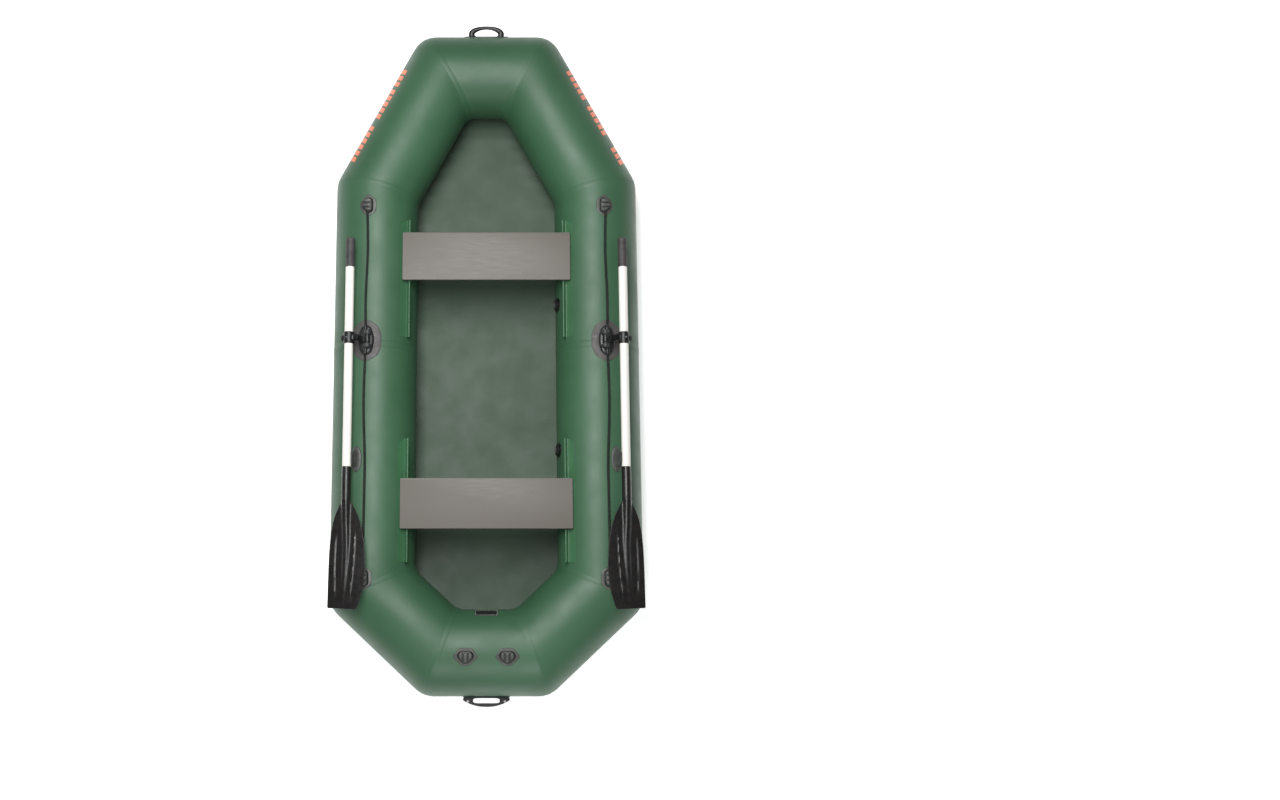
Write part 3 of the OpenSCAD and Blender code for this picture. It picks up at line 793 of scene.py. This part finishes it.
def dense(outline, step=0.004):
    """The outline with extra points, so that it bends with the tube."""
    points = []
    for a, b in zip(outline, outline[1:] + outline[:1]):
        count = max(1, round((b - a).length / step))
        points += [a.lerp(b, k / count) for k in range(count)]
    return points


def pad(outline, thick):
    """A bonded rubber pad: thin, with a feathered edge."""
    rings = [(0.0, -0.001), (0.0, 0.35 * thick), (0.0022, thick), (0.006, thick)]
    rings += [(inset, thick) for inset in (0.012, 0.02, 0.028)]
    return loft(layers(dense(outline), rings))


def clip(outline, low, high):
    """The part of a convex outline between two heights of y."""
    for limit, sign in ((low, 1), (high, -1)):
        kept = []
        for a, b in zip(outline, outline[1:] + outline[:1]):
            inside_a, inside_b = (a.y - limit) * sign >= 0, (b.y - limit) * sign >= 0
            if inside_a:
                kept.append(a)
            if inside_a != inside_b:
                kept.append(a.lerp(b, (limit - a.y) / (b.y - a.y)))
        outline = kept
    return outline


def eye(at):
    """A moulded eye: a pad, a black D-shaped housing and three grey ridges, its flat side inboard."""
    base = rounded(symmetric([(-0.035, 0.026), (-0.006, 0.0465), (0.004, 0.0465), (0.034, 0.015)]), 0.012)
    dome = rounded(symmetric([(-0.022, 0.024), (-0.008, 0.0335), (0.002, 0.031), (0.0245, 0.009)]), 0.010)
    top = rounded(symmetric([(-0.0165, 0.023), (-0.006, 0.0275), (0.001, 0.0255), (0.0185, 0.007)]), 0.008)
    soft = [wrapped(pad(base, 0.0024), at)]
    for low, high in ((-0.05, -0.0098), (-0.0082, 0.0082), (0.0098, 0.05)):
        ridge = clip(dense(top), low, high)
        steps = [(0.0, 0.0132), (0.0008, 0.0148), (0.0026, 0.0166), (0.0052, 0.0176), (0.0085, 0.018)]
        soft.append(wrapped(pillow(ridge, steps, 0.008), at))
    steps = [(0.0, 0.0065), (0.0016, 0.0105), (0.0042, 0.0126), (0.009, 0.0134)]
    return soft, wrapped(pillow(dense(dome), steps), at)


def rope_eyes():
    places = {
        "fore": [on_side(side, middle_of("fore_rope_eyes").y, 9.0) for side in SIDES.values()],
        "aft": [on_side(side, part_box("aft_rope_eyes")[1].y - 0.046, 8.0) for side in SIDES.values()],
        "stern": [on_stern(x, 7.0) for x in (-0.082, 0.082)]}
    for end, frames in places.items():
        made = [eye(at) for at in frames]
        soft = [shell for pads, _ in made for shell in pads]
        hard = [housing for _, housing in made]
        mesh_piece(f"{end}_eye_pads", soft, EYE, replaces=[f"{end}_rope_eyes"])
        mesh_piece(f"{end}_eye_housings", hard, BLACK)


rope_eyes()


def label():
    """A blank plate with a raised light border, on the stern tube's inner face."""
    at = on_stern(0, -66.0)
    outline = rectangle(0.030, 0.046, 0.003)
    mesh_piece("label_film", [wrapped(pad(outline, 0.001), at)], LABEL, replaces=["label_plate"])
    edge = dense(shrunk(outline, 0.0022))
    rings = layers(edge, [(0.0, 0.0005), (0.0, 0.0015), (0.0016, 0.0015), (0.0016, 0.0005)])
    mesh_piece("label_rim", [wrapped(loft(rings, closed=True), at)], BORDER)


label()


# ======== Oarlocks

# The oar's shaft and the collar's pin in the oarlock's leaning frame: A is outboard, C is off the tube.
LEAN = radians(20)
SHAFT_A = 0.065
SHAFT_C = 0.036
SHAFT_R = 0.0175
POST_A = 0.029
TO_Y = Matrix.Rotation(radians(-90), 4, "X")


def lock_frame(side):
    """The oarlock's leaning frame at the lift pin: +X outboard, +Y forward, +Z off the tube."""
    return mirrored(side, Matrix.Translation(middle_of("starboard_lift_pin")) @ Matrix.Rotation(LEAN, 4, "Y"))


def barrel(radius, length, edge, n=32):
    """A round-edged cylinder along Y, its middle at the origin."""
    return turned(lathe([(radius - by, z) for by, z in softened(length / 2, edge)], n), TO_Y)


def lock_base(hand, side):
    """The patch, and the moulded base on it: an egg-shaped foot, a rope tunnel and two round lugs."""
    y = middle_of(f"{hand}_lock_patch").y
    at = on_side(side, y, 9.0)
    corners = [(-0.063, 0.024), (-0.048, 0.062), (-0.012, 0.085),
               (0.012, 0.085), (0.048, 0.062), (0.063, 0.024)]
    patch = pad(rounded(symmetric(corners), 0.012), 0.002)
    mesh_piece(f"{hand}_lock_pad", [wrapped(patch, at)], RUBBER,
               replaces=[f"{hand}_lock_patch"])
    egg = []
    for k in range(56):
        c, s = cos(tau * k / 56), sin(tau * k / 56)
        egg.append(Vector((0.033 * power(c, 0.85), 0.062 * s)))
    foot = pillow(egg, [(0.0, 0.0035), (0.0012, 0.006), (0.004, 0.0085), (0.009, 0.0105), (0.016, 0.0112)])
    tunnel = moved(barrel(0.0086, 0.122, 0.004, 24), z=R + 0.0085)
    bar = moved(slab((0.0022, 0.026), 0.002, 0.0009, 0.0005), x=-0.0205, z=R + 0.0112)
    shells = [wrapped(foot, at), turned(tunnel, at), turned(bar, at)]
    mesh_piece(f"{hand}_lock_foot", shells, BLACK, replaces=[f"{hand}_lock_base"])
    lugs = on_side(side, y, 5.5)
    shells = []
    for end in (-1, 1):
        cap = [(0.0105, 0.0178), (0.0118, 0.0184), (0.0118, 0.0202), (0.0129, 0.0214), (0.0134, 0.0235),
               (0.0134, 0.0315), (0.0124, 0.0345), (0.0098, 0.0368), (0.0050, 0.0376)]
        axle = Matrix.Translation((0, 0, R + 0.028)) @ Matrix.Rotation(radians(-90 * end), 4, "X")
        shells.append(turned(lathe(cap, 36), lugs @ axle))
        web = rectangle(0.0135, 0.0072, 0.004)
        rings = []
        for size, h in ((1.25, 0.004), (1.08, 0.009), (0.96, 0.014), (0.9, 0.02), (0.88, 0.028)):
            rings.append([(p.x * size, p.y * (0.5 + 0.5 * size), R + h) for p in web])
        shells.append(turned(moved(loft(rings), y=end * 0.0262), lugs))
    mesh_piece(f"{hand}_lock_lugs", shells, LUG)


def lock_arm(hand, side):
    """The short arm that lifts with the oar, with a ribbed sleeve on the lift pin."""
    sleeve = barrel(0.011, 0.033, 0.0016)
    ribs = [moved(barrel(0.0119, 0.0035, 0.0012), y=y) for y in (-0.0125, 0.0125)]
    outline = rounded(symmetric([(0.0, 0.012), (0.034, 0.012), (0.041, 0.005)]), 0.006)
    half, edge = 0.006, 0.0012
    plate = loft(layers(outline, [(edge, -half), (0, edge - half), (0, half - edge), (edge, half)]))
    mesh_piece(f"{hand}_arm", [sleeve, *ribs, plate], BLACK, f"{hand}_lock_arm",
               [f"{hand}_lock_arm"], lock_frame(side))


def collar(hand, side):
    """The clamp round the oar: a flanged sleeve, a hub on its pin, a boss for the knob and a screw on top."""
    low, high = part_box(f"{hand}_oar_collar")
    length = high.y - low.y
    outer = 0.022
    half = length / 2
    profile = [(SHAFT_R + 0.0004, -half), (outer - 0.0026, -half), (outer - 0.0008, 0.0012 - half),
               (outer, 0.0036 - half), (outer, -0.0022), (outer - 0.0005, -0.0016)]
    profile += [(radius, -z) for radius, z in reversed(profile)]
    sleeve = moved(turned(lathe(profile, 44, closed=True), TO_Y), x=SHAFT_A, z=SHAFT_C)
    hub = [(0.0064, 0.008), (0.0108, 0.008), (0.012, 0.0092), (0.012, 0.047), (0.0108, 0.05), (0.0064, 0.05)]
    post = moved(lathe(hub, 36, closed=True), x=POST_A)
    bridge = [(POST_A + 0.009, 0.010, 0.009), (POST_A + 0.014, 0.0105, 0.0095),
              (SHAFT_A - SHAFT_R - 0.001, 0.014, 0.011)]
    rings = [[(x, w * c, SHAFT_C + h * s) for c, s in superellipse()] for x, w, h in bridge]
    rim = [(0.0085, 0.0), (0.0085, 0.004), (0.0075, 0.0052), (0.0042, 0.0052), (0.0042, 0.0)]
    boss = turned(lathe(rim, 30), Matrix.Rotation(pi / 2, 4, "Y"))
    boss = moved(boss, x=SHAFT_A + outer - 0.0035, z=SHAFT_C)
    at = lock_frame(side)
    body = f"{hand}_collar"
    mesh_piece(f"{hand}_clamp", [sleeve, post, loft(rings), boss], BLACK, body,
               [f"{hand}_oar_collar"], at)
    head = lathe([(0.0042, 0.0), (0.0042, 0.0012), (0.0034, 0.0022), (0.0016, 0.0026), (0.0014, 0.0017)], 24)
    screw = moved(head, x=SHAFT_A, z=SHAFT_C + outer - 0.0019)
    mesh_piece(f"{hand}_clamp_screw", [screw], STEEL, body, at=at)


def thumbscrew(hand, side):
    """The knob that locks the collar: a stem, and a round head with shallow lobes."""
    stem = lathe([(0.004, SHAFT_R + 0.0007), (0.004, 0.024)], 24)
    head = lathe([(0.0085, 0.0226), (0.0130, 0.0230), (0.0142, 0.0244), (0.0142, 0.0274), (0.0128, 0.0296),
                  (0.0090, 0.0308), (0.0034, 0.0312)], 60, lobes=10, depth=0.08)
    wing = moved(slab((0.005, 0.020), 0.004, 0.0022, 0.0012), z=0.0315)
    at = lock_frame(side) @ Matrix.Translation((SHAFT_A, 0, SHAFT_C)) @ Matrix.Rotation(pi / 2, 4, "Y")
    name = f"{hand}_thumbscrew"
    mesh_piece(f"{hand}_knob", [stem, head, wing], BLACK, name, [name], at)


# ======== Oars

def oar_frame(side):
    return lock_frame(side) @ Matrix.Translation((SHAFT_A, 0, SHAFT_C))


def grip(hand, side):
    """A rubber grip: a rounded end cap, shallow rings and a lip where it meets the shaft."""
    low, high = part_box(f"{hand}_oar_grip")
    place = middle_of("starboard_lift_pin").y
    start, end = low.y - place, high.y - place
    radius = SHAFT_R + 0.0014
    profile = [(SHAFT_R - 0.001, start), (radius, start), (radius + 0.0006, start + 0.0015),
               (radius + 0.0006, start + 0.005), (radius, start + 0.0065)]
    rings = 15
    step = (end - start - 0.022) / rings
    for k in range(rings):
        y = start + 0.01 + step * k
        profile += [(radius, y), (radius - 0.0007, y + 0.2 * step), (radius - 0.0007, y + 0.32 * step),
                    (radius, y + 0.52 * step)]
    profile += [(radius, end - 0.006), (radius - 0.0012, end - 0.0024), (radius - 0.004, end - 0.0006),
                (radius - 0.008, end), (0.0008, end)]
    shell = turned(lathe(profile, 40, lobes=20, depth=0.012), TO_Y)
    mesh_piece(f"{hand}_grip", [shell], GRIP, f"{hand}_oar",
               [f"{hand}_oar_grip"], oar_frame(side))


BLADE_L = 0.426


def between(t, stops):
    """A smooth curve's value at t, through (t, value) stops."""
    last = len(stops) - 1
    i = max(k for k in range(last) if t >= stops[k][0] or k == 0)
    (t0, a), (t1, b) = stops[i], stops[i + 1]
    before, after = stops[max(i - 1, 0)], stops[min(i + 2, last)]
    slope_a = (b - before[1]) / (t1 - before[0])
    slope_b = (after[1] - a) / (after[0] - t0)
    s, span = (t - t0) / (t1 - t0), t1 - t0
    return ((2 * s ** 3 - 3 * s * s + 1) * a + (s ** 3 - 2 * s * s + s) * span * slope_a
            + (3 * s * s - 2 * s ** 3) * b + (s ** 3 - s * s) * span * slope_b)


OUTER_EDGE = [(0.0, 0.0165), (0.06, 0.0305), (0.12, 0.0425), (0.2, 0.0545), (0.35, 0.0655),
              (0.55, 0.0705), (1.0, 0.0725)]
INNER_EDGE = [(0.0, 0.0165), (0.06, 0.0335), (0.12, 0.0475), (0.2, 0.0615), (0.35, 0.0765), (0.5, 0.0835),
              (0.64, 0.0850), (0.79, 0.0790), (0.92, 0.0650), (1.0, 0.0530)]
SPINE = [(0.0, 0.0), (0.2, -0.001), (0.4, -0.004), (0.7, 0.001), (1.0, 0.010)]


def blade(hand, side):
    """A moulded blade: a socket on the shaft, an S-shaped spine, two long ribs and a thick rim."""
    low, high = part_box(f"{hand}_oar_blade")
    place = middle_of("starboard_lift_pin").y
    tip, top = low.y - place, high.y - place
    root = tip + BLADE_L
    columns, long_rows, tip_rows = 64, 90, 8
    turn, short = 0.985, 0.015
    ts = [turn * k / long_rows for k in range(long_rows + 1)]
    ts += [turn + short * sin(pi / 2 * k / tip_rows) for k in range(1, tip_rows + 1)]
    neck = SHAFT_R + 0.0014
    upper, lower = [], []
    for t in ts:
        y = root - BLADE_L * t
        corner = 0.006 * (1 - sqrt(1 - min(1.0, max(0.0, (t - turn) / short)) ** 2))
        out, inn = (w - corner for w in edge_width(t))
        for k in range(columns + 1):
            s = sin(pi / 2 * (2 * k / columns - 1) * 0.94) / sin(pi / 2 * 0.94)
            x = s * (out if s > 0 else inn)
            y_here = y + 0.056 * x * t ** 6
            middle = between(t, SPINE)
            core = 0.0165 * (1 - t) ** 1.25 + 0.0004
            spread = 0.0175 * (1 - 0.62 * t)
            ridge = core * exp(-((x - middle) / spread) ** 4)
            ribs = sum(0.0030 * exp(-((x - c) / 0.0030) ** 2) * bell(t, 0.26, 0.95) for c in rib_places(t))
            rim = 0.0016 * exp(-((1 - abs(s)) * (out if s > 0 else inn) / 0.0026) ** 2)
            scoop = -0.004 * (x / 0.08) ** 2 * bell(t, 0.0, 1.3) + 0.004 * t * t
            thick = 0.0014 + 0.0006 * (1 - t)
            edge = sqrt(max(0.0, 1 - abs(s) ** 30))
            upper.append((x, y_here, scoop + (thick + ridge + ribs + rim) * edge))
            lower.append((x, y_here, scoop - (thick + 0.75 * ridge + 0.6 * ribs + rim) * edge))
    plate = sheet_shell(upper, lower, len(ts) - 1, columns)
    profile = [(SHAFT_R - 0.0005, top), (neck - 0.0006, top), (neck, top - 0.0012), (neck, root + 0.03),
               (neck - 0.0008, root), (0.0150, root - 0.03), (0.0118, root - 0.09), (0.0085, root - 0.16),
               (0.0045, root - 0.24), (0.001, root - 0.30)]
    sleeve = turned(lathe(profile, 40), TO_Y)
    mesh_piece(f"{hand}_blade", [plate, sleeve], BLADE,
               f"{hand}_oar", [f"{hand}_oar_blade"], oar_frame(side))


def bell(t, start, end):
    """1 in the middle of a span and 0 past its ends, with soft shoulders."""
    s = (t - start) / (end - start)
    if s <= 0 or s >= 1:
        return 0.0
    return min(1.0, 6 * s * (1 - s))


def rib_places(t):
    """Where the two long ribs run, bowed like the blade's edges."""
    return 0.036 - 0.05 * (t - 0.5) ** 2 + 0.012 * t, -0.046 + 0.05 * (t - 0.45) ** 2 + 0.014 * t


def edge_width(t):
    """The blade's reach outboard and inboard of the shaft's line."""
    return between(t, OUTER_EDGE), between(t, INNER_EDGE)


def oar_rest(hand, side):
    """A rubber pad with an open hook that the stowed shaft lies in."""
    at = on_side(side, middle_of(f"{hand}_oar_rest").y, 20.0)
    outline = [Vector((0.024 * cos(a), 0.052 * sin(a))) for a in (tau * k / 48 for k in range(48))]
    foot = pillow(outline, [(0.0, 0.0022), (0.0014, 0.0042), (0.005, 0.0055), (0.011, 0.006)])
    reach = middle_of("starboard_lift_pin") - Vector((TUBE_X, 0, R))
    over = reach.x * cos(LEAN) - reach.z * sin(LEAN) + SHAFT_A
    up = reach.x * sin(LEAN) + reach.z * cos(LEAN) + SHAFT_C
    inner, outer = SHAFT_R + 0.002, SHAFT_R + 0.0075
    arc = [(over + outer * cos(a), up + outer * sin(a)) for a in (radians(d) for d in range(170, 301, 10))]
    back = [(over + inner * cos(a), up + inner * sin(a)) for a in (radians(d) for d in range(300, 169, -10))]
    half = 0.022
    levels = [(-half, 0.84), (-half + 0.002, 1.0), (half - 0.002, 1.0), (half, 0.84)]
    mid_x, mid_z = over - SHAFT_R, up - SHAFT_R
    rings = [[(mid_x + (x - mid_x) * size, y, mid_z + (z - mid_z) * size) for x, z in arc + back]
             for y, size in levels]
    stalk_rings = []
    for t in (0.0, 0.35, 0.7, 1.0):
        width = 0.013 * (1 - 0.3 * t) + 0.003 * t
        centre = Vector((0.004, R + 0.003)).lerp(Vector((over - 0.006, up - SHAFT_R - 0.004)), t)
        depth = 0.034 - 0.008 * t
        stalk_rings.append([(centre.x + width * c, depth * s, centre.y) for c, s in superellipse(32, 0.5)])
    shells = [wrapped(foot, at), turned(loft(rings), at), turned(loft(stalk_rings), at)]
    mesh_piece(f"{hand}_rest", shells, EYE, replaces=[f"{hand}_oar_rest"])


for hand, side in SIDES.items():
    lock_base(hand, side)
    lock_arm(hand, side)
    collar(hand, side)
    thumbscrew(hand, side)
    grip(hand, side)
    blade(hand, side)
    oar_rest(hand, side)


# ======== Handles

def bow_handle():
    """A moulded bow handle: a strap pad on the tube and a flattened oval loop with stout ends."""
    turn = Matrix.Rotation(radians(20), 4, "X")
    path, sizes = [], []
    for k in range(49):
        a = radians(-38 + 256 * k / 48)
        path.append(Vector((0.0635 * cos(a), R + 0.0115 + 0.0275 * sin(a), 0)))
        sizes.append(0.0072 + 0.0058 * cos(a) ** 2)
    loop = turned(swept(path, sizes, 18, 0.85), Matrix.Translation((0, TUBE_Y, R)) @ turn)
    at = Matrix.Translation((0, TUBE_Y, R)) @ end_turn(-70)
    outline = octagon(0.044, 0.190, 0.012, 0.012)
    mesh_piece("bow_grab_handle", [loop, wrapped(pad(outline, 0.0032), at)], BLACK,
               replaces=["bow_handle"])


def stern_handle():
    """A moulded stern handle: a crescent with a finger slot and two eared ends."""
    low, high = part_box("stern_handle")
    out = -HULL_L / 2 - low.y
    half = (high.x - low.x) / 2
    n = 96
    outer, inner = [], []
    for k in range(n):
        a = tau * k / n
        c, s = cos(a), sin(a)
        x = half * power(c, 0.72)
        if s < 0:
            depth = out * (0.98 - 0.62 * abs(x / half) ** 2.2)
        else:
            depth = 0.064 * max(0.0, abs(x) / half - 0.75) - 0.010
        blend = min(1.0, abs(s) * 3.5)
        outer.append(Vector((x, -HULL_L / 2 - depth * blend - 0.012 * (1 - blend))))
        inner.append(Vector((0.053 * power(c, 0.3), -HULL_L / 2 - 0.0165 + 0.010 * power(s, 0.6))))
    rings = layers(outer, [(0.0016, R - 0.010), (0, R - 0.0075), (0, R + 0.0075), (0.0016, R + 0.010)])
    rings += layers(inner, [(-0.0012, R + 0.010), (0, R + 0.0085), (0, R - 0.0085), (-0.0012, R - 0.010)])
    outline = octagon(0.040, 0.188, 0.010, 0.010)
    plate = wrapped(pad(outline, 0.0032), on_stern(0, 90))
    mesh_piece("stern_grab_handle", [loft(rings, closed=True), plate], BLACK,
               replaces=["stern_handle"])


bow_handle()
stern_handle()


# ======== Valves

def valve_cap(end):
    """The valve's bayonet cap: a plug, a knurled rim and a finger bar."""
    body = f"{end}_valve_cap"
    at = on_side(1, middle_of(f"{end}_valve_body").y, -75.0)
    plug = lathe([(0.0145, R - 0.001), (0.0148, R + 0.004)], 36)
    rim = lathe([(0.0205, R + 0.0033), (0.0228, R + 0.0038), (0.023, R + 0.005), (0.023, R + 0.0078),
                 (0.0218, R + 0.009), (0.012, R + 0.0096), (0.003, R + 0.0097)], 72, lobes=18, depth=0.045)
    bar = moved(slab((0.008, 0.028), 0.008, 0.0034, 0.0014), z=R + 0.012)
    mesh_piece(f"{end}_cap", [plug, rim, bar], BLACK, body, [body], at)


valve_cap("fore")
valve_cap("aft")


# ======== CAD parts that stay

def finish_cad(material, node):
    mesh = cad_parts[node].data
    for slot in range(len(mesh.materials)):
        mesh.materials[slot] = material
    if not mesh.materials:
        mesh.materials.append(material)


for hand in SIDES:
    finish_cad(ALUMINIUM, f"{hand}_oar_shaft")
    finish_cad(STEEL, f"{hand}_lift_pin")
    finish_cad(DARK_STEEL, f"{hand}_collar_pin")
    finish_cad(SEAM, f"{hand}_bulkhead")
for end in ("fore", "aft"):
    finish_cad(GUIDE, f"{end}_bench_guides")
    finish_cad(STEEL, f"{end}_bench_screws")
    finish_cad(BLACK, f"{end}_valve_body")
    finish_cad(PLUNGER, f"{end}_valve_plunger")
finish_cad(STEEL, "stern_handle_screws")


# ======== Studio

def area_light(name, size, watts, place, tilt):
    data = bpy.data.lights.new(name, "AREA")
    data.shape = "RECTANGLE"
    data.size, data.size_y = size
    data.energy = watts
    lamp = bpy.data.objects.new(name, data)
    lamp.location = place
    lamp.rotation_euler = (radians(tilt[0]), radians(tilt[1]), 0)
    scene.collection.objects.link(lamp)


def studio():
    """A plain white floor, a soft key light above and a low fill behind the stern."""
    data = bpy.data.meshes.new("floor")
    reach, level = 9, -0.002
    corners = [(x * reach, y * reach, level) for x, y in ((-1, -1), (1, -1), (1, 1), (-1, 1))]
    data.from_pydata(corners, [], [(0, 1, 2, 3)])
    floor = bpy.data.objects.new("studio_floor", data)
    scene.collection.objects.link(floor)
    paint = Paint("studio_floor", Roughness=0.9, Specular_IOR_Level=0.1, Emission_Color=(1, 1, 1, 1),
                  Emission_Strength=0.6)
    paint.colours(paint.noise(1.0), (0.2, (250, 250, 250)), (0.8, (253, 253, 253)))
    data.materials.append(paint.material)
    world = bpy.data.worlds.new("studio")
    scene.world = world
    world.use_nodes = True
    background = world.node_tree.nodes["Background"]
    background.inputs["Color"].default_value = (1.0, 1.0, 1.0, 1.0)
    background.inputs["Strength"].default_value = 0.18
    area_light("key", (1.2, 2.8), 145.0, (-0.4, 0.6, 3.3), (-5, -6))
    area_light("fill", (1.6, 0.6), 26.0, (0, -2.8, 1.9), (43, 0))
    scene.view_settings.view_transform = "Standard"


studio()
